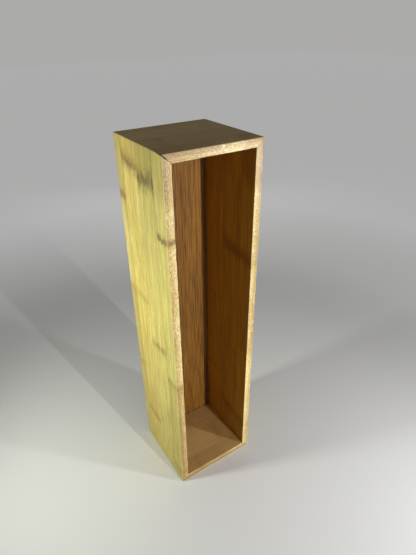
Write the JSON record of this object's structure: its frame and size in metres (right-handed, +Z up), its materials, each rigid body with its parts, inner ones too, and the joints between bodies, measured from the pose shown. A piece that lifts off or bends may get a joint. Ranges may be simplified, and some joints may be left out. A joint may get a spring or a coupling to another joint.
{
  "type": "bottle rack",
  "caption": "Tall open-fronted bamboo case with mitred corners and a recessed back panel, holding a bottle upright or lying down.",
  "frame": {"origin": "middle of the base, where the case stands on a surface", "axes": "+Z up along the height, -Y out of the open front, +X to the right of someone facing the open front"},
  "size_m": [0.1, 0.095, 0.406],
  "materials": {
    "case_bamboo": "natural laminated bamboo, flat grain, fine-sanded with a thin matt lacquer",
    "panel_bamboo": "warmer brown bamboo with fine straight grain, matt"
  },
  "bodies": {
    "root": {"left_side_strip_1": "case_bamboo", "left_side_strip_2": "case_bamboo", "left_side_strip_3": "case_bamboo", "left_side_strip_4": "case_bamboo", "right_side_strip_1": "case_bamboo", "right_side_strip_2": "case_bamboo", "right_side_strip_3": "case_bamboo", "right_side_strip_4": "case_bamboo", "top_strip_1": "case_bamboo", "top_strip_2": "case_bamboo", "top_strip_3": "case_bamboo", "top_strip_4": "case_bamboo", "bottom_strip_1": "case_bamboo", "bottom_strip_2": "case_bamboo", "bottom_strip_3": "case_bamboo", "bottom_strip_4": "case_bamboo", "back_panel_strip_1": "panel_bamboo", "back_panel_strip_2": "panel_bamboo", "back_panel_strip_3": "panel_bamboo", "back_panel_strip_4": "panel_bamboo"}
  },
  "joints": []
}
